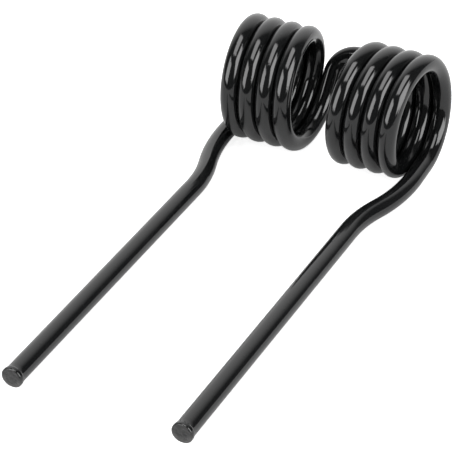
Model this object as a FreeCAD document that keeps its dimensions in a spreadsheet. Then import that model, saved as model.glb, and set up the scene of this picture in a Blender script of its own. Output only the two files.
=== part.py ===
"""Pick-up tine of a hay baler: a double torsion spring bent from one length of round wire.

The wire starts as a straight leg, runs through a shallow double bend, winds up into a
close coil, crosses over in a hairpin loop that takes the clamping bolt, and goes down
the other side as the mirror image. Millimetres and degrees. The row's origin is on the
coils' axis, half way between them. +X runs along the coils, the legs point to -Y, and
+Z is up with the tine lying on its legs and the undersides of its coils.
"""

import FreeCAD, Part
import math
import os

Vector = FreeCAD.Vector
X_AXIS = Vector(1, 0, 0)
Y_AXIS = Vector(0, 1, 0)
Z_AXIS = Vector(0, 0, 1)

# The coil is laid in short arcs, in pairs that share a tangent
ARC_PAIRS_PER_TURN = 4

# Driving dimensions: name, value and what it measures
SIZES = [
    ("wire_diameter", 6.0, "round spring wire"),
    ("coil_outer_diameter", 41.0, "over the outside of a coil"),
    ("turn_gap", 0.08, "free space between neighbouring turns"),
    ("full_turns", 4, "whole turns of a coil, before the part turn to its leg"),
    ("coil_gap", 8.9, "between the two coils, along their axis"),
    ("coil_toe", 2.1, "angle by which a coil's outer end swings towards the legs"),
    ("coil_lift", 1.2, "angle by which a coil's outer end rises"),
    ("loop_lean", 28.5, "angle of the loop's arms behind the vertical"),
    ("loop_arm", 6.2, "straight arm between a coil and the round of the loop"),
    ("leg_dip", 2.5, "angle of the wire below the level where it leaves a coil"),
    ("first_run", 7.8, "straight wire between a coil and the outer bend"),
    ("outer_bend_radius", 60.0, "centreline radius of the bend beside a coil"),
    ("jog_angle", 18.4, "angle between a leg and the slanted run of its jog"),
    ("jog_roll", 3.0, "angle by which the jog rises out of the level"),
    ("jog_run", 2.5, "straight wire between the jog's two bends"),
    ("inner_bend_radius", 46.0, "centreline radius of the bend into the leg"),
    ("leg_run", 109.7, "straight part of a leg, to its tip"),
    ("tip_round", 0.5, "rounding of the cut edge at a tip"),
]

doc = FreeCAD.newDocument("pickup_tine")

sheet = doc.addObject("Spreadsheet::Sheet", "sizes")
for row, (alias, value, note) in enumerate(SIZES, start=1):
    sheet.set(f"A{row}", alias)
    sheet.set(f"B{row}", str(value))
    sheet.set(f"C{row}", note)
    sheet.setAlias(f"B{row}", alias)
doc.recompute()


def angle_of(alias):
    """A sheet angle in radians."""
    return math.radians(sheet.get(alias))


# Coil centreline. The helix is drawn from its inner end outwards, about its own Z axis.
# Its quarter turn about Y lays that axis along X, less the lift; the toe swings it level.
coil = doc.addObject("Part::Helix", "coil_centreline")
coil.Label = "coil centreline"
coil.LocalCoord = "Left-handed"
coil.setExpression("Pitch", "sizes.wire_diameter + sizes.turn_gap")
coil.setExpression("Radius", "(sizes.coil_outer_diameter - sizes.wire_diameter) / 2")
coil.setExpression(
    "Height",
    "(sizes.wire_diameter + sizes.turn_gap)"
    " * (sizes.full_turns + (90 - sizes.leg_dip - sizes.loop_lean) / 360)",
)
coil.setExpression(
    "Placement",
    "placement(vector((sizes.coil_gap + sizes.wire_diameter) / 2; 0; 0);"
    " rotation(vector(0; 0; 1); -sizes.coil_toe)"
    " * rotation(vector(0; 1; 0); 90 - sizes.coil_lift)"
    " * rotation(vector(0; 0; 1); 90 - sizes.loop_lean))",
)
doc.recompute()


def coil_point(swept):
    """Point of the coil's centreline after an angle in radians, counted from its inner end.

    A left-handed helix turns clockwise as it climbs: (R cos, -R sin, pitch * turns).
    """
    radius = coil.Radius.Value
    rise = coil.Pitch.Value / (2 * math.pi)
    local = Vector(radius * math.cos(swept), -radius * math.sin(swept), rise * swept)
    return coil.Placement.multVec(local)


def coil_heading(swept):
    """Unit direction of the coil's wire at that point, heading outwards."""
    radius = coil.Radius.Value
    rise = coil.Pitch.Value / (2 * math.pi)
    local = Vector(-radius * math.sin(swept), -radius * math.cos(swept), rise)
    return coil.Placement.Rotation.multVec(local).normalize()


def straight(edges, start, heading, length):
    """Adds a straight run of wire and returns its far end."""
    end = start + heading * length
    edges.append(Part.LineSegment(start, end).toShape())
    return end


def bend(edges, start, heading, new_heading, radius):
    """Adds an arc that turns the wire from one heading to the next, and returns its end.

    A point of the arc is start + radius * (sin(a) * heading + (1 - cos(a)) * side), where
    side is square to heading, in the plane of the two headings.
    """
    turn = heading.getAngle(new_heading)
    side = (new_heading - heading * heading.dot(new_heading)).normalize()
    middle, end = (
        start + (heading * math.sin(a) + side * (1 - math.cos(a))) * radius
        for a in (turn / 2, turn)
    )
    edges.append(Part.Arc(start, middle, end).toShape())
    return end


def arc_pair(edges, start, heading, end, end_heading):
    """Adds two arcs that leave start and reach end with the given headings.

    Each arc runs as far as its corner is away, and both corners are the same reach from
    start and end, so the reach solves |chord - reach * (heading + end_heading)| = 2 * reach.
    """
    chord = end - start
    both = heading + end_heading
    square_term = both.dot(both) - 4
    linear_term = -2 * chord.dot(both)
    root = math.sqrt(linear_term ** 2 - 4 * square_term * chord.dot(chord))
    reach = (-linear_term - root) / (2 * square_term)
    middle_heading = (chord - both * reach).normalize()
    for old, new in ((heading, middle_heading), (middle_heading, end_heading)):
        start = bend(edges, start, old, new, reach / math.tan(old.getAngle(new) / 2))
    return start


# Loop: from the coil's inner end the wire carries on straight, then turns over to the
# mirror plane. The round's radius is what brings it there heading exactly along -X.
loop_edges = []
arm_heading = coil_heading(0) * -1
arm_end = straight(loop_edges, coil_point(0), arm_heading, sheet.get("loop_arm"))
arm_inclination = math.asin(-arm_heading.dot(X_AXIS))
loop_radius = arm_end.x / math.cos(arm_inclination)
crown = bend(loop_edges, arm_end, arm_heading, X_AXIS * -1, loop_radius)

# Coil: pairs of tangent arcs keep to the helix within about a hundredth of a millimetre,
# so that each stretch of the wire is a plain piece of torus.
coil_edges = []
coil_sweep = 2 * math.pi * coil.Height.Value / coil.Pitch.Value
pairs = math.ceil(ARC_PAIRS_PER_TURN * coil.Height.Value / coil.Pitch.Value)
point = coil_point(0)
for pair in range(pairs):
    before = coil_sweep * pair / pairs
    after = coil_sweep * (pair + 1) / pairs
    point = arc_pair(coil_edges, point, coil_heading(before), coil_point(after), coil_heading(after))

# Leg: a run in line with the coil's outer end, the jog inwards, and the straight leg
leg_edges = []
leg_heading = Y_AXIS * -1
jog_inwards = X_AXIS * -math.cos(angle_of("jog_roll")) + Z_AXIS * math.sin(angle_of("jog_roll"))
jog_heading = leg_heading * math.cos(angle_of("jog_angle")) + jog_inwards * math.sin(angle_of("jog_angle"))
first_heading = coil_heading(coil_sweep)
point = straight(leg_edges, point, first_heading, sheet.get("first_run"))
point = bend(leg_edges, point, first_heading, jog_heading, sheet.get("outer_bend_radius"))
point = straight(leg_edges, point, jog_heading, sheet.get("jog_run"))
point = bend(leg_edges, point, jog_heading, leg_heading, sheet.get("inner_bend_radius"))
tip = straight(leg_edges, point, leg_heading, sheet.get("leg_run"))

# Half of the wire's centreline in one piece, from the loop's crown to the leg's tip
centreline = doc.addObject("Part::Feature", "half_centreline")
centreline.Label = "half centreline"
centreline.Shape = Part.Wire(Part.__sortEdges__(loop_edges + coil_edges + leg_edges))

section = doc.addObject("Part::Circle", "wire_section")
section.Label = "wire section"
section.setExpression("Radius", "sizes.wire_diameter / 2")
section.Placement = FreeCAD.Placement(crown, FreeCAD.Rotation(Z_AXIS, X_AXIS))

half_wire = doc.addObject("Part::Sweep", "half_wire")
half_wire.Label = "half wire"
half_wire.Sections = [section]
half_wire.Spine = (centreline, [])
half_wire.Solid = True
half_wire.Frenet = False
doc.recompute()

# The cut end of the wire, with its edge rounded
tip_edge = min(
    range(len(half_wire.Shape.Edges)),
    key=lambda i: half_wire.Shape.Edges[i].CenterOfMass.distanceToPoint(tip),
)
half_tine = doc.addObject("Part::Fillet", "half_tine")
half_tine.Label = "half tine"
half_tine.Base = half_wire
half_tine.Edges = [(tip_edge + 1, sheet.get("tip_round"), sheet.get("tip_round"))]

other_half = doc.addObject("Part::Mirroring", "other_half")
other_half.Label = "other half"
other_half.Source = half_tine
other_half.Normal = X_AXIS

tine = doc.addObject("Part::Fuse", "spring_tine")
tine.Label = "spring_tine"
tine.Base = half_tine
tine.Tool = other_half
tine.Refine = True
doc.recompute()

failed = [o.Name for o in doc.Objects if "Invalid" in o.State or "Error" in o.State]
if failed:
    raise RuntimeError("failed objects: " + ", ".join(failed))
if tine.Shape.isNull() or not tine.Shape.isValid() or len(tine.Shape.Solids) != 1:
    raise RuntimeError("the tine isn't one valid solid")

wire_length = 2 * centreline.Shape.Length
section_area = math.pi * section.Radius.Value ** 2
box = tine.Shape.optimalBoundingBox(False)
print(f"wire length {wire_length:.1f} mm, volume {tine.Shape.Volume:.1f} mm3")
print(f"volume over section times length {tine.Shape.Volume / (section_area * wire_length):.5f}")
print(f"loop radius {loop_radius:.2f} mm, leg centre at x {tip.x:.2f} mm")
print(f"x {box.XMin:.2f} to {box.XMax:.2f}, y {box.YMin:.2f} to {box.YMax:.2f}, z {box.ZMin:.2f} to {box.ZMax:.2f}")

os.makedirs("parts", exist_ok=True)
tine.Shape.exportStep(f"parts/{tine.Label}.step")
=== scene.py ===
# %% [markdown]
# # Pick-up tine of a hay baler
# A baler lifts the hay off the field with rows of these tines. Each one is a single length
# of round spring wire: a straight leg, a shallow double bend, a close coil that lets the leg
# give when it meets a stone, a hairpin loop for the clamping bolt, and the mirror image of
# all that. It is painted glossy black after bending.
#
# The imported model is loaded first. It fixes the size and place of everything below, and
# every length is in metres.

# %% Load the frame
import math

import bpy
import numpy as np
from mathutils import Matrix, Vector


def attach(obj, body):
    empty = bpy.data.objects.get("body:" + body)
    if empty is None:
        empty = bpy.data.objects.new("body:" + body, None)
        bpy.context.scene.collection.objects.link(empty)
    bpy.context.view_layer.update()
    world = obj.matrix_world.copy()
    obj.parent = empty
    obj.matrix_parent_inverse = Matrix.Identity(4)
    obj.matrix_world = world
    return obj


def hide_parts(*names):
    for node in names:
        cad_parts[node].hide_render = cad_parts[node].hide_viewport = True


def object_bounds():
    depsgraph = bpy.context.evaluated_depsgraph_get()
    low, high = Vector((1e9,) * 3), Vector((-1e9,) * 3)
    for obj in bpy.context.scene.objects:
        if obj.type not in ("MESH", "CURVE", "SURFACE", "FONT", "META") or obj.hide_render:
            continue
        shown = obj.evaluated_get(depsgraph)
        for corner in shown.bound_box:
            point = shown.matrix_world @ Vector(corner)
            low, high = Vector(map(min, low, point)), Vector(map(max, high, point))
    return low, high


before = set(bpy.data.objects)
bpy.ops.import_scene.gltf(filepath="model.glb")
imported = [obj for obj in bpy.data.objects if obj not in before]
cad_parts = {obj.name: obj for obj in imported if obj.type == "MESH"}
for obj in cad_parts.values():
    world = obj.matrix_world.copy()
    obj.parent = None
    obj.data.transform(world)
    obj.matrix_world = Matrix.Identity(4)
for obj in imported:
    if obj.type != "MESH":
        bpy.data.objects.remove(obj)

cad_lowest, cad_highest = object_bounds()
print("CAD box", [round(v, 5) for v in (*cad_lowest, *cad_highest)])

# %% [markdown]
# ## The wire's line
# On the real object nothing is joined: one wire is wound and bent. So the piece is one
# surface too, a round section carried along a line, and all the work is in that line. A
# curve object with a bevel could carry the section, but its line would only pass near the
# helix. Here each stretch of the line is an exact formula worked out with numpy for a whole
# array of places at once, which also gives the heading of the wire at every place.
#
# The sizes come first, by the names a spring maker would use.

# %% Sizes of the wire, the coils and the legs
WIRE_DIAMETER = 0.006
COIL_OUTER_DIAMETER = 0.041
TURN_GAP = 0.00008
FULL_TURNS = 4
COIL_GAP = 0.0089
COIL_TOE = math.radians(2.1)
COIL_LIFT = math.radians(1.2)
LOOP_LEAN = math.radians(28.5)
LOOP_ARM = 0.0062
LEG_DIP = math.radians(2.5)
FIRST_RUN = 0.0078
OUTER_BEND_RADIUS = 0.060
JOG_ANGLE = math.radians(18.4)
JOG_ROLL = math.radians(3.0)
JOG_RUN = 0.0025
INNER_BEND_RADIUS = 0.046
LEG_RUN = 0.1097

coil_radius = (COIL_OUTER_DIAMETER - WIRE_DIAMETER) / 2
coil_pitch = WIRE_DIAMETER + TURN_GAP
coil_sweep = 2 * math.pi * FULL_TURNS + math.pi / 2 - LEG_DIP - LOOP_LEAN
print(f"coil: radius {coil_radius * 1000:.2f} mm, {coil_sweep / (2 * math.pi):.2f} turns")

# %% [markdown]
# ## The coil
# The wire touches itself turn after turn, so the coil is a helix whose pitch is the wire's
# thickness and a hair more. The left and right coils aren't quite in line on the real one:
# their outer ends swing a little towards the legs, which a small turning of the whole helix
# gives.

# %% Line of the coil
RING_SPACING = 0.0008


def unit(vectors):
    """Each vector divided by its own length."""
    return vectors / np.linalg.norm(vectors, axis=-1, keepdims=True)


def places_along(length, spacing=RING_SPACING):
    """Evenly spread distances from 0 to length, no further apart than the spacing."""
    return np.linspace(0, length, max(3, math.ceil(length / spacing) + 1))


def coil_line(swept):
    """Points, headings and outward directions of the coil's wire, from its inner end.

    After a swept angle the wire stands at (pitch * turns, R cos a, R sin a). The angle a is
    0 straight behind the axis, starts below that by the loop's lean and falls as the wire
    winds on. The heading is the derivative of that point, and outward is away from the axis.
    """
    angle = -LOOP_LEAN - swept
    rise = np.full_like(swept, coil_pitch / (2 * math.pi))
    flat = np.zeros_like(swept)
    back, up = np.cos(angle), np.sin(angle)
    point = np.column_stack((rise * swept, coil_radius * back, coil_radius * up))
    heading = np.column_stack((rise, coil_radius * up, -coil_radius * back))
    outward = np.column_stack((flat, back, up))
    toe, lift = Matrix.Rotation(-COIL_TOE, 3, "Z"), Matrix.Rotation(-COIL_LIFT, 3, "Y")
    turning = np.array(toe @ lift).T
    inner_end = np.array([(COIL_GAP + WIRE_DIAMETER) / 2, 0, 0])
    return point @ turning + inner_end, unit(heading) @ turning, outward @ turning


coil_points, coil_headings, coil_outwards = coil_line(
    places_along(coil_sweep * coil_radius) / coil_radius
)
print(f"coil: {len(coil_points)} places, outer end at x {coil_points[-1, 0] * 1000:.2f} mm")

# %% [markdown]
# ## The loop
# From its inner end each coil sends a short straight arm upwards and back, and the two arms
# meet in a half round. Bending a wire on a pin makes a circular arc that starts along the
# wire's own heading, so one helper for a straight run and one for such an arc are enough
# for the loop and, further on, for the leg. The round's radius is the one that brings the
# arm from the coil to the middle plane heading exactly across it.

# %% Line of the loop
def straight_line(start, heading, length, spacing=RING_SPACING):
    """Points and headings of a straight run: start + distance * heading."""
    distance = places_along(length, spacing)[:, None]
    return start + distance * heading, np.broadcast_to(heading, (len(distance), 3))


def bend_line(start, heading, new_heading, radius):
    """Points and headings of an arc that turns the wire from one heading to another.

    A point is start + radius * (sin a * heading + (1 - cos a) * side), where side is square
    to heading in the plane of both headings and a grows to the angle between them.
    """
    full_turn = math.acos(heading @ new_heading)
    side = unit(new_heading - heading * (heading @ new_heading))
    turned = places_along(full_turn * radius)[:, None] / radius
    points = start + radius * (np.sin(turned) * heading + (1 - np.cos(turned)) * side)
    return points, np.cos(turned) * heading + np.sin(turned) * side


arm_heading = -coil_headings[0]
arm_points, arm_headings = straight_line(coil_points[0], arm_heading, LOOP_ARM)
loop_radius = arm_points[-1, 0] / math.sqrt(1 - arm_heading[0] ** 2)
round_points, round_headings = bend_line(
    arm_points[-1], arm_heading, np.array([-1.0, 0, 0]), loop_radius
)
crown = np.round(round_points[-1] * 1000, 2)
print(f"loop: radius {loop_radius * 1000:.2f} mm, crown at {crown} mm")

# %% [markdown]
# ## The leg
# Beside the coil the wire runs on in a straight line, bends inwards, bends back, and goes
# straight on to its tip. The shallow double bend brings the legs nearer to each other than
# the coils' outer ends are.

# %% Line of the leg
LEG_RING_SPACING = 0.0016

leg_heading = np.array([0, -1.0, 0])
inwards = np.array([-math.cos(JOG_ROLL), 0, math.sin(JOG_ROLL)])
jog_heading = leg_heading * math.cos(JOG_ANGLE) + inwards * math.sin(JOG_ANGLE)

first_run = straight_line(coil_points[-1], coil_headings[-1], FIRST_RUN)
outer_bend = bend_line(first_run[0][-1], coil_headings[-1], jog_heading, OUTER_BEND_RADIUS)
jog_run = straight_line(outer_bend[0][-1], jog_heading, JOG_RUN)
inner_bend = bend_line(jog_run[0][-1], jog_heading, leg_heading, INNER_BEND_RADIUS)
leg_run = straight_line(inner_bend[0][-1], leg_heading, LEG_RUN, LEG_RING_SPACING)

leg_pieces = (first_run, outer_bend, jog_run, inner_bend, leg_run)
leg_points = np.concatenate([points[1:] for points, _ in leg_pieces])
leg_headings = np.concatenate([headings[1:] for _, headings in leg_pieces])
print(f"leg: tip at {np.round(leg_points[-1] * 1000, 2)} mm")

# %% [markdown]
# ## From half a line to a whole one
# A round section needs a second direction, square to the heading, from which the angle
# round the wire is counted. On the coil it is the outward direction. That direction is all
# but square to the whole loop where the loop starts, and all but straight down where the leg
# starts, so both keep the last one that they had, made square to their own heading. Nothing
# twists, and the two halves meet in the crown without a seam.

# %% Half a line, from the loop's crown to a tip
half_points = np.concatenate((round_points[::-1], arm_points[-2::-1], coil_points[1:], leg_points))
half_headings = np.concatenate(
    (-round_headings[::-1], -arm_headings[-2::-1], coil_headings[1:], leg_headings)
)
half_outwards = np.concatenate(
    (
        np.broadcast_to(coil_outwards[0], (len(round_points) + len(arm_points) - 1, 3)),
        coil_outwards[1:],
        np.broadcast_to(coil_outwards[-1], leg_points.shape),
    )
)
print(f"half a line: {len(half_points)} places")

# %% Whole line, from the left tip to the right one
MIRROR = np.array([-1.0, 1.0, 1.0])
line_points = np.concatenate((half_points[:0:-1] * MIRROR, half_points))
line_headings = np.concatenate((half_headings[:0:-1] * -MIRROR, half_headings))
line_outwards = np.concatenate((half_outwards[:0:-1] * MIRROR, half_outwards))
line_outwards = unit(
    line_outwards - line_headings * np.sum(line_outwards * line_headings, axis=1, keepdims=True)
)
steps = np.linalg.norm(np.diff(line_points, axis=0), axis=1)
along_wire = np.concatenate(([0], np.cumsum(steps)))
wire_length = along_wire[-1]
print(f"line: {len(line_points)} places, wire length {wire_length * 1000:.1f} mm")

# %% [markdown]
# ## The painted wire
# The bent tine is dipped in paint and hung up by its loop. The paint levels itself to an
# even gloss, thin on the coils, and runs down the legs, where the film grows from 0.03 to
# 0.12 mm. At each tip it gathers over the burr of the cut in a low rim, 0.24 mm proud of
# the leg and under 2 mm long, shoulder and all. A tube of one radius would miss that. So
# the film's thickness follows a formula along the wire, and at the tips a profile takes
# over, from the face's centre over a rounded edge and down the shoulder to the leg.
#
# Each tip was sheared off a long wire. The shear rounds the edge, rolls the face over at
# its lower side, and leaves a low step across it where the metal tore. That relief is real
# geometry here, because it catches light, and it follows a formula in the two directions
# across the face.

# %% Profile of a tip
FILM_ON_LEGS = 0.00012
TIP_ROUND = 0.0006
RIM_HEIGHT = 0.00024
RIM_LENGTH = 0.0012
SHOULDER_LENGTH = 0.0007
SHOULDER_LEAN = 1.5
FACE_RINGS = 14
EDGE_RINGS = 9
SHOULDER_RINGS = 9

# From the face's centre to the end of the rim's shoulder: how far out each ring lies, and
# how far it stands short of the tip's end plane. The edge is a quarter circle, and the
# shoulder falls as half a cosine wave that leans towards the leg.
leg_radius = WIRE_DIAMETER / 2 + FILM_ON_LEGS
rim_radius = leg_radius + RIM_HEIGHT
edge_angle = np.linspace(math.pi / 2, 0, EDGE_RINGS)
edge_out = rim_radius - TIP_ROUND * (1 - np.cos(edge_angle))
edge_short = TIP_ROUND * (1 - np.sin(edge_angle))
face_out = np.linspace(0, edge_out[0], FACE_RINGS, endpoint=False)
down_shoulder = np.linspace(0, 1, SHOULDER_RINGS)
rim_left = 0.5 + 0.5 * np.cos(math.pi * down_shoulder**SHOULDER_LEAN)
shoulder_out = leg_radius + RIM_HEIGHT * rim_left
shoulder_short = RIM_LENGTH + SHOULDER_LENGTH * down_shoulder
tip_out = np.concatenate((face_out, edge_out, shoulder_out))
tip_short = np.concatenate((np.zeros(FACE_RINGS), edge_short, shoulder_short))
# The same distance for the map, which runs on below zero from the edge to the face's centre
tip_along = tip_short - (edge_out[0] - np.minimum(tip_out, edge_out[0]))
print(f"tip: rim radius {rim_radius * 1000:.2f} mm, on a leg of {leg_radius * 1000:.2f} mm")

# %% Film of paint along the wire
FILM_ON_COILS = 0.00003
FILM_GROWS_FROM = 0.150
FILM_GROWS_TO = 0.105

# The film's growth is a cubic step of the distance to the nearer tip
tip_distance = np.minimum(along_wire, wire_length - along_wire)
grown = np.clip((FILM_GROWS_FROM - tip_distance) / (FILM_GROWS_FROM - FILM_GROWS_TO), 0, 1)
film = FILM_ON_COILS + (FILM_ON_LEGS - FILM_ON_COILS) * grown**2 * (3 - 2 * grown)
wire_radii = WIRE_DIAMETER / 2 + film
thinnest, thickest = wire_radii.min() * 1000, wire_radii.max() * 1000
print(f"wire: radius {thinnest:.2f} mm on the coils, {thickest:.2f} mm on the legs")

# %% Rings of the wire, from the left tip's face to the right one's
SECTORS = 48
RIM_CLEARANCE = 0.0003

# The rings of the line that the rims take the place of are left out
kept = tip_distance > shoulder_short[-1] + RIM_CLEARANCE


def with_tips(left, body, right):
    """Vectors of the left tip's rings, the body's rings and the right tip's, in that order."""
    shape = (len(tip_out), 3)
    return np.concatenate((np.broadcast_to(left, shape), body, np.broadcast_to(right, shape)))


ring_centres = with_tips(
    line_points[0] + tip_short[:, None] * line_headings[0],
    line_points[kept],
    line_points[-1] - tip_short[::-1, None] * line_headings[-1],
)
ring_headings = with_tips(line_headings[0], line_headings[kept], line_headings[-1])
ring_outwards = with_tips(line_outwards[0], line_outwards[kept], line_outwards[-1])
ring_radii = np.concatenate((tip_out, wire_radii[kept], tip_out[::-1]))
ring_along = np.concatenate((tip_along, along_wire[kept], wire_length - tip_along[::-1]))
on_face = np.concatenate(
    (
        np.ones(FACE_RINGS),
        np.linspace(1, 0, EDGE_RINGS),
        np.zeros(kept.sum() + 2 * SHOULDER_RINGS),
        np.linspace(0, 1, EDGE_RINGS),
        np.ones(FACE_RINGS),
    )
)
print(f"wire: {len(ring_radii)} rings of {SECTORS} points")

# %% Relief of a sheared face
STEP_DEPTH = 0.00012
STEP_HEIGHT = -0.28
STEP_BOW = 0.35
STEP_SOFTNESS = 0.10
STEP_SHARE, TEAR_SHARE = 0.6, 0.4
TEAR_WAVES = ((9, 4), (-3, 13))
ROLL_DEPTH = 0.00042
ROLL_START = 0.05


def shear_relief(across, up):
    """How far the sheared face stands back, for two directions across it in wire radii.

    A step of soft slope follows a bowed line across the face, tanh of the distance from the
    line over its softness. Fine tears share the step's depth, a product of two sines, each
    with its own rate across and up. Below its middle the face rolls over towards the lower
    edge, as the square of the depth below the roll's start.
    """
    line_height = STEP_HEIGHT + STEP_BOW * across**2
    step = 0.5 - 0.5 * np.tanh((up - line_height) / STEP_SOFTNESS)
    first, second = (np.sin(wide * across + high * up) for wide, high in TEAR_WAVES)
    tears = 0.5 + 0.5 * first * second
    rolled = np.clip(-up - ROLL_START, 0, None) ** 2
    return STEP_DEPTH * (STEP_SHARE * step + TEAR_SHARE * tears) + ROLL_DEPTH * rolled


deepest = shear_relief(np.array(0.0), np.array(-1.0))
print(f"relief: {deepest * 1000:.2f} mm deep at the face's lower edge")


# %% Surface of the wire
def tube(centres, headings, outwards, radii, face_share):
    """Grid of points of the wire: one ring of SECTORS points round each centre.

    A point is centre + radius * (cos t * outward + sin t * side), where side is square to
    heading and outward, and t runs once round. On a tip's face it moves back by the relief,
    which is along the heading at the left tip and against it at the right one.
    """
    angle = np.linspace(0, 2 * math.pi, SECTORS, endpoint=False)[None, :, None]
    sides = np.cross(headings, outwards)
    around = np.cos(angle) * outwards[:, None] + np.sin(angle) * sides[:, None]
    offsets = radii[:, None, None] * around
    across, up = offsets[..., 0] / radii.max(), offsets[..., 2] / radii.max()
    relief = face_share[:, None] * shear_relief(across, up)
    back = np.where(np.arange(len(radii)) < len(radii) / 2, 1.0, -1.0)
    return centres[:, None] + offsets + (back[:, None] * relief)[..., None] * headings[:, None]


wire_grid = tube(ring_centres, ring_headings, ring_outwards, ring_radii, on_face)
print("wire grid", wire_grid.shape)


# %% Faces of the wire
def tube_faces(rings, sectors):
    """Faces of a tube whose first and last rings have shrunk to points.

    Between neighbouring rings lie four-sided faces, and the two poles are single points
    with a fan of triangles. The poles are numbered after all the other points.
    """
    here = np.arange(sectors)
    there = (here + 1) % sectors
    first = (np.arange(rings - 3) * sectors)[:, None]
    second = first + sectors
    quads = np.stack((first + here, first + there, second + there, second + here), -1)
    last = (rings - 3) * sectors
    pole = last + sectors
    start_fan = np.column_stack((np.full(sectors, pole), there, here))
    end_fan = np.column_stack((last + here, last + there, np.full(sectors, pole + 1)))
    return quads.reshape(-1, 4).tolist() + start_fan.tolist() + end_fan.tolist()


wire_faces = tube_faces(len(ring_radii), SECTORS)
print(f"wire: {len(wire_faces)} faces")


# %% Map of the wire
def tube_map(along, sectors):
    """Map coordinates of every corner of those faces, in the faces' order.

    The first is the share of the way round, and at a pole the middle of its triangle. The
    second is the distance along the wire. Across a tip's face it runs on beyond the end,
    below zero at the left tip and above the wire's length at the right one.
    """
    here = np.arange(sectors)
    quad_shape = (len(along) - 3, sectors, 4)
    quad_u = np.broadcast_to(np.stack((here, here + 1, here + 1, here), -1) / sectors, quad_shape)
    before, after = along[1:-2], along[2:-1]
    quad_v = np.stack((before, before, after, after), -1)
    quad_v = np.broadcast_to(quad_v[:, None], quad_shape)
    start_u = np.stack((here + 0.5, here + 1, here), -1) / sectors
    end_u = np.stack((here, here + 1, here + 0.5), -1) / sectors
    start_v = np.broadcast_to([along[0], along[1], along[1]], (sectors, 3))
    end_v = np.broadcast_to([along[-2], along[-2], along[-1]], (sectors, 3))
    u = np.concatenate((quad_u.ravel(), start_u.ravel(), end_u.ravel()))
    v = np.concatenate((quad_v.ravel(), start_v.ravel(), end_v.ravel()))
    return np.stack((u, v), -1)


wire_corners = tube_map(ring_along, SECTORS)
print(f"wire map: {len(wire_corners)} corners")

# %% Mesh of the wire
inner_points = wire_grid[1:-1].reshape(-1, 3)
wire_points = np.concatenate((inner_points, wire_grid[:1, 0], wire_grid[-1:, 0]))
wire_mesh = bpy.data.meshes.new("bent_wire")
wire_mesh.from_pydata(wire_points.tolist(), [], wire_faces)
wire_mesh.uv_layers.new(name="wire_map").data.foreach_set("uv", wire_corners.ravel())
wire_mesh.polygons.foreach_set("use_smooth", np.ones(len(wire_mesh.polygons), bool))
wire_mesh.update()

bent_wire = bpy.data.objects.new("bent_wire", wire_mesh)
bpy.context.scene.collection.objects.link(bent_wire)
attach(bent_wire, "root")
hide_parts("spring_tine")
triangles = len(wire_mesh.loops) - 2 * len(wire_mesh.polygons)
print(f"wire mesh: {triangles} triangles")

# %% [markdown]
# ## The paint
# Glossy black paint is almost only reflections. Under them lies a very dark grey, and the
# film isn't a perfect mirror: it has a faint orange peel about a millimetre and a half
# wide, slower waves where it ran, and here and there a speck of dust. A single colour with
# one roughness would look like plastic film, so the colour, the roughness and the bump all
# read noise on the object's own coordinates, each at its real size.
#
# The sheared faces are matt and mottled, and a paler grey is painted along the underside of
# each tip's edge. Those marks follow the wire's own map: its first coordinate tells where the
# underside is, and its second how far away the tip's edge is.


# %% Node helpers
def new_nodes(owner):
    """Empties the node tree of a material or a world and returns it."""
    owner.use_nodes = True
    owner.node_tree.nodes.clear()
    return owner.node_tree


def add_node(tree, kind, inputs=None, **settings):
    """Adds a node, sets its properties and its unlinked inputs, and links the others."""
    node = tree.nodes.new(kind)
    for name, value in settings.items():
        setattr(node, name, value)
    for name, value in (inputs or {}).items():
        if isinstance(value, bpy.types.NodeSocket):
            tree.links.new(value, node.inputs[name])
        else:
            node.inputs[name].default_value = value
    return node


def maths(tree, operation, first, second=0.0):
    """One arithmetic step on one or two values."""
    return add_node(tree, "ShaderNodeMath", {0: first, 1: second}, operation=operation).outputs[0]


def noise(tree, coordinates, size, detail=2.0, roughness=0.5):
    """Noise whose lumps are about size metres wide, between 0 and 1."""
    inputs = {"Vector": coordinates, "Scale": 1 / size, "Detail": detail, "Roughness": roughness}
    return add_node(tree, "ShaderNodeTexNoise", inputs).outputs["Fac"]


def spread(tree, value, low, high, to_low, to_high):
    """Maps value from one range to another and stops at the ends."""
    inputs = {0: value, 1: low, 2: high, 3: to_low, 4: to_high}
    return add_node(tree, "ShaderNodeMapRange", inputs, clamp=True).outputs[0]


# %% Helpers for colours and bumps
def blend_colours(tree, share, first, second):
    """Colour between two others by a share. The first may be another node's colour."""
    if not isinstance(first, bpy.types.NodeSocket):
        first = (*first, 1)
    inputs = {0: share, 6: first, 7: (*second, 1)}
    return add_node(tree, "ShaderNodeMix", inputs, data_type="RGBA").outputs[2]


def bump(tree, height, distance, strength, under=None):
    """Bump of a height texture, whose full range stands for a distance in metres."""
    inputs = {"Height": height, "Distance": distance, "Strength": strength}
    if under is not None:
        inputs["Normal"] = under
    return add_node(tree, "ShaderNodeBump", inputs).outputs["Normal"]


# %% Patterns in the paint, each by the width of its lumps
SHADE_WIDTH = 0.009
PEEL_WIDTH = 0.0016
RUN_WIDTH = 0.008
SPECK_WIDTH = 0.0011
GRIT_WIDTH = 0.0015
SPECK_RANGE = (0.74, 0.80)

paint = bpy.data.materials.new("gloss_black_paint")
tree = new_nodes(paint)
where = add_node(tree, "ShaderNodeTexCoord").outputs["Object"]
shade = noise(tree, where, SHADE_WIDTH, detail=3)
peel = noise(tree, where, PEEL_WIDTH, detail=1)
runs = noise(tree, where, RUN_WIDTH, detail=1)
specks = spread(tree, noise(tree, where, SPECK_WIDTH, detail=0), *SPECK_RANGE, 0, 1)
grit = noise(tree, where, GRIT_WIDTH, detail=3, roughness=0.6)
print(f"paint: {len(tree.nodes)} nodes for its patterns")

# %% Marks at the tips, by the distance to the tip's edge and by the side of the wire
SHEARED_FADE = (0.00005, 0.0003)
PALER_START = (-0.0013, -0.0001)
PALER_END = (0.0003, 0.0006)
PALER_SIDE = (-0.3, 0.4)
MOTTLED_RANGE = (0.35, 0.65)

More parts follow.
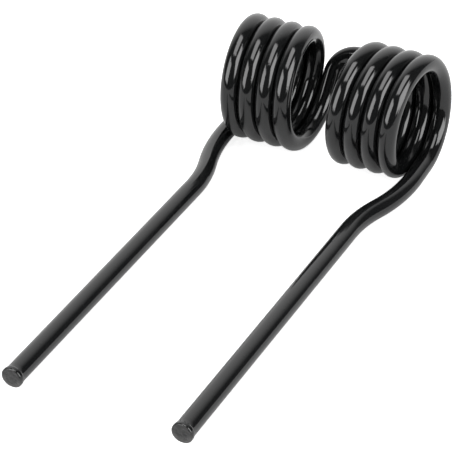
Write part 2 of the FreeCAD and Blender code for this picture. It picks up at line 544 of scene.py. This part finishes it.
wire_map = add_node(tree, "ShaderNodeUVMap", uv_map="wire_map").outputs[0]
map_axes = add_node(tree, "ShaderNodeSeparateXYZ", {0: wire_map}).outputs
from_right_tip = maths(tree, "SUBTRACT", wire_length, map_axes["Y"])
to_tip = maths(tree, "MINIMUM", map_axes["Y"], from_right_tip)
downwards = maths(tree, "COSINE", maths(tree, "MULTIPLY", map_axes["X"], 2 * math.pi))

sheared = spread(tree, to_tip, *SHEARED_FADE, 1, 0)
mottled = maths(tree, "MULTIPLY", sheared, spread(tree, grit, *MOTTLED_RANGE, 0, 1))
# A paler grey is painted along the underside of each tip's edge: near the edge, on the wire's
# lower side
past_start = spread(tree, to_tip, *PALER_START, 0, 1)
before_end = spread(tree, to_tip, *PALER_END, 1, 0)
near_edge = maths(tree, "MULTIPLY", past_start, before_end)
paler_underside = maths(tree, "MULTIPLY", near_edge, spread(tree, downwards, *PALER_SIDE, 0, 1))
print(f"paint: {len(tree.nodes)} nodes with the marks of the shear")

# %% Colour, gloss and bumps of the paint
PAINT_DARK = (0.0042, 0.0046, 0.0049)
PAINT_PALE = (0.0076, 0.0080, 0.0082)
# Paler grey of the mottled faces, also painted along the underside of the tips' edges
PAINT_PALER_GREY = (0.070, 0.069, 0.068)
PAINT_INDEX = 1.50
MOTTLED_SHARE = 0.35
RUNS_RANGE = (0.3, 0.7)
PAINT_ROUGHNESS = (0.07, 0.12)
SHEARED_ROUGHNESS = 0.24
RUN_HEIGHT, RUN_STRENGTH = 0.00005, 0.6
PEEL_HEIGHT, PEEL_STRENGTH = 0.000006, 0.5
SPECK_HEIGHT, SPECK_STRENGTH = 0.00002, 0.5
GRIT_HEIGHT = 0.0004

normal = bump(tree, runs, RUN_HEIGHT, RUN_STRENGTH)
normal = bump(tree, peel, PEEL_HEIGHT, PEEL_STRENGTH, under=normal)
normal = bump(tree, specks, SPECK_HEIGHT, SPECK_STRENGTH, under=normal)
normal = bump(tree, grit, GRIT_HEIGHT, sheared, under=normal)
gloss = spread(tree, runs, *RUNS_RANGE, *PAINT_ROUGHNESS)
roughness = maths(tree, "ADD", gloss, maths(tree, "MULTIPLY", sheared, SHEARED_ROUGHNESS))
colour = blend_colours(tree, shade, PAINT_DARK, PAINT_PALE)
mottle = maths(tree, "MULTIPLY", mottled, MOTTLED_SHARE)
colour = blend_colours(tree, mottle, colour, PAINT_PALER_GREY)
# The paler grey painted along the underside of the tips' edges
colour = blend_colours(tree, paler_underside, colour, PAINT_PALER_GREY)
surface = add_node(
    tree,
    "ShaderNodeBsdfPrincipled",
    {"Base Color": colour, "Roughness": roughness, "IOR": PAINT_INDEX, "Normal": normal},
)
add_node(tree, "ShaderNodeOutputMaterial", {"Surface": surface.outputs[0]})
wire_mesh.materials.append(paint)
print(f"paint: {len(tree.nodes)} nodes in all")

# %% [markdown]
# ## The camera
# The photograph is taken from the tips' side, a little to the right and from above, with a
# long lens, which is why the legs hardly draw together. Its place was found by fitting the
# tine's own outline.

# %% Camera
CAMERA_AZIMUTH = math.radians(26.979)
CAMERA_ELEVATION = math.radians(34.163)
CAMERA_ROLL = math.radians(-0.082)
CAMERA_POSITION = Vector((0.248244, -0.561201, 0.36333))
CAMERA_LENS = 175.03
CAMERA_SENSOR = 36
CAMERA_SHIFT = (-0.00491, 0.00921)

camera_data = bpy.data.cameras.new("camera")
camera_data.lens = CAMERA_LENS
camera_data.sensor_width = CAMERA_SENSOR
camera_data.shift_x, camera_data.shift_y = CAMERA_SHIFT
camera = bpy.data.objects.new("camera", camera_data)
bpy.context.scene.collection.objects.link(camera)
turning = (
    Matrix.Rotation(CAMERA_AZIMUTH, 4, "Z")
    @ Matrix.Rotation(math.pi / 2 - CAMERA_ELEVATION, 4, "X")
    @ Matrix.Rotation(CAMERA_ROLL, 4, "Z")
)
camera.matrix_world = Matrix.Translation(CAMERA_POSITION) @ turning
bpy.context.scene.camera = camera
print("camera axes", [[round(v, 4) for v in row] for row in turning.to_3x3()])

# %% [markdown]
# ## The floor
# The tine lies on a white sheet. A plain white plane would come out grey wherever the light
# is weaker, so the plane adds light of its own, most of it towards the camera and a little
# into reflections. The rest is ordinary white, and keeps the tine's shadow.

# %% Floor
FLOOR_SIZE = 6.0

floor_mesh = bpy.data.meshes.new("floor")
reach = FLOOR_SIZE / 2
floor_height = cad_lowest.z
floor_corners = [
    (-reach, -reach, floor_height),
    (reach, -reach, floor_height),
    (reach, reach, floor_height),
    (-reach, reach, floor_height),
]
floor_mesh.from_pydata(floor_corners, [], [(0, 1, 2, 3)])
floor = bpy.data.objects.new("floor", floor_mesh)
bpy.context.scene.collection.objects.link(floor)
print(f"floor: {FLOOR_SIZE} m wide, at z {floor_height * 1000:.2f} mm")

# %% White of the floor
FLOOR_WHITE = (0.92, 0.92, 0.92)
GLOW_SEEN = 0.83
GLOW_MIRRORED = 0.15

sheet = bpy.data.materials.new("white_sheet")
tree = new_nodes(sheet)
path = add_node(tree, "ShaderNodeLightPath").outputs
mirrored = maths(tree, "ADD", path["Is Glossy Ray"], path["Is Transmission Ray"])
seen_glow = maths(tree, "MULTIPLY", path["Is Camera Ray"], GLOW_SEEN)
mirrored_glow = maths(tree, "MULTIPLY", mirrored, GLOW_MIRRORED)
glow = maths(tree, "ADD", seen_glow, mirrored_glow)
shining = add_node(tree, "ShaderNodeEmission", {"Color": (1, 1, 1, 1), "Strength": glow})
white = add_node(tree, "ShaderNodeBsdfDiffuse", {"Color": (*FLOOR_WHITE, 1)})
both = add_node(tree, "ShaderNodeAddShader", {0: shining.outputs[0], 1: white.outputs[0]})
add_node(tree, "ShaderNodeOutputMaterial", {"Surface": both.outputs[0]})
floor_mesh.materials.append(sheet)
print(f"floor: reflects {FLOOR_WHITE[0]}, glows {GLOW_SEEN} towards the camera")

# %% [markdown]
# ## The light
# A glossy black thing shows its surroundings, so the light is best thought of as a room: a
# panel overhead, one to the left of the camera, two that overlap on its right, a wide
# backdrop behind that fades out towards its edges, and near black between them. Area lamps
# could do the same, but they bring noise into so smooth a finish. So the panels are drawn
# straight into the world, each as a flat sheet would look from where the tine lies. To the
# camera itself the world is plain white.
#
# A matt surface gathers light from the whole room. It gets only a part of that light, so
# that a colour renders about as light as it is written.

# %% Panels of light
# Each panel: the azimuth and elevation that it faces the tine from, its two sides and its
# lower and upper edge as slopes seen from the tine, its brightness and its edge's width.
# The azimuth is counted from -Y, the way the legs point, towards +X.
PANELS = [
    (0, 90, -0.31, 0.38, -0.52, 0.22, 5.1, 0.07),
    (-30, 27, -0.35, 0.35, -0.34, 0.35, 5.9, 0.07),
    (82, 25, -0.39, 0.28, -0.28, 0.45, 6.8, 0.07),
    (82, 25, -0.05, 0.40, -0.51, 0.10, 6.0, 0.07),
    (208, 4, -1.44, 1.18, -0.95, 1.78, 1.50, 2.5),
]
GRAZING = 0.01


def dot(tree, vector, fixed):
    """Dot product of a vector with a fixed one."""
    node = add_node(tree, "ShaderNodeVectorMath", {0: vector, 1: fixed}, operation="DOT_PRODUCT")
    return node.outputs["Value"]


def soft_band(tree, value, low, high, edge):
    """1 between low and high, 0 outside, with a smooth slope of the edge's width at each end."""
    middle, half = (low + high) / 2, (high - low) / 2
    away = maths(tree, "ABSOLUTE", maths(tree, "SUBTRACT", value, middle))
    inputs = {0: away, 1: half - edge / 2, 2: half + edge / 2, 3: 1, 4: 0}
    node = add_node(tree, "ShaderNodeMapRange", inputs, interpolation_type="SMOOTHSTEP")
    return node.outputs[0]


def panel_patch(tree, direction, azimuth, elevation, left, right, low, high, brightness, edge):
    """Brightness of a flat panel in a direction of the sky.

    The panel lies square to its own direction at distance 1, so a ray meets it at the ray's
    parts along the panel's two sides, each divided by the part towards the panel. That last
    part is kept above 0, so that a ray away from the panel lands far outside it.
    """
    turn, rise = math.radians(azimuth), math.radians(elevation)
    ahead, aside = -math.cos(turn), math.sin(turn)
    facing = Vector((aside * math.cos(rise), ahead * math.cos(rise), math.sin(rise)))
    sideways = Vector((math.cos(turn), math.sin(turn), 0))
    upwards = facing.cross(sideways)
    towards = maths(tree, "MAXIMUM", dot(tree, direction, facing), GRAZING)
    across = maths(tree, "DIVIDE", dot(tree, direction, sideways), towards)
    up = maths(tree, "DIVIDE", dot(tree, direction, upwards), towards)
    between_sides = soft_band(tree, across, left, right, edge)
    between_ends = soft_band(tree, up, low, high, edge)
    inside = maths(tree, "MULTIPLY", between_sides, between_ends)
    return maths(tree, "MULTIPLY", inside, brightness)


print(f"light: {len(PANELS)} panels")

# %% World
DARK_ROOM = 0.08
DIFFUSE_SHARE = 0.60

world = bpy.data.worlds.new("studio")
bpy.context.scene.world = world
tree = new_nodes(world)

sky = add_node(tree, "ShaderNodeTexCoord").outputs["Generated"]
room = DARK_ROOM
for panel in PANELS:
    room = maths(tree, "MAXIMUM", panel_patch(tree, sky, *panel), room)

path = add_node(tree, "ShaderNodeLightPath").outputs
mirrored = maths(tree, "ADD", path["Is Glossy Ray"], path["Is Transmission Ray"])
share = spread(tree, mirrored, 0, 1, DIFFUSE_SHARE, 1)
strength = maths(tree, "MULTIPLY", room, share)
unseen = maths(tree, "SUBTRACT", 1, path["Is Camera Ray"])
strength = maths(tree, "ADD", maths(tree, "MULTIPLY", strength, unseen), path["Is Camera Ray"])
light = add_node(tree, "ShaderNodeBackground", {"Color": (1, 1, 1, 1), "Strength": strength})
add_node(tree, "ShaderNodeOutputWorld", {"Surface": light.outputs[0]})

bpy.context.scene.view_settings.view_transform = "Standard"
print(f"world: {len(tree.nodes)} nodes")
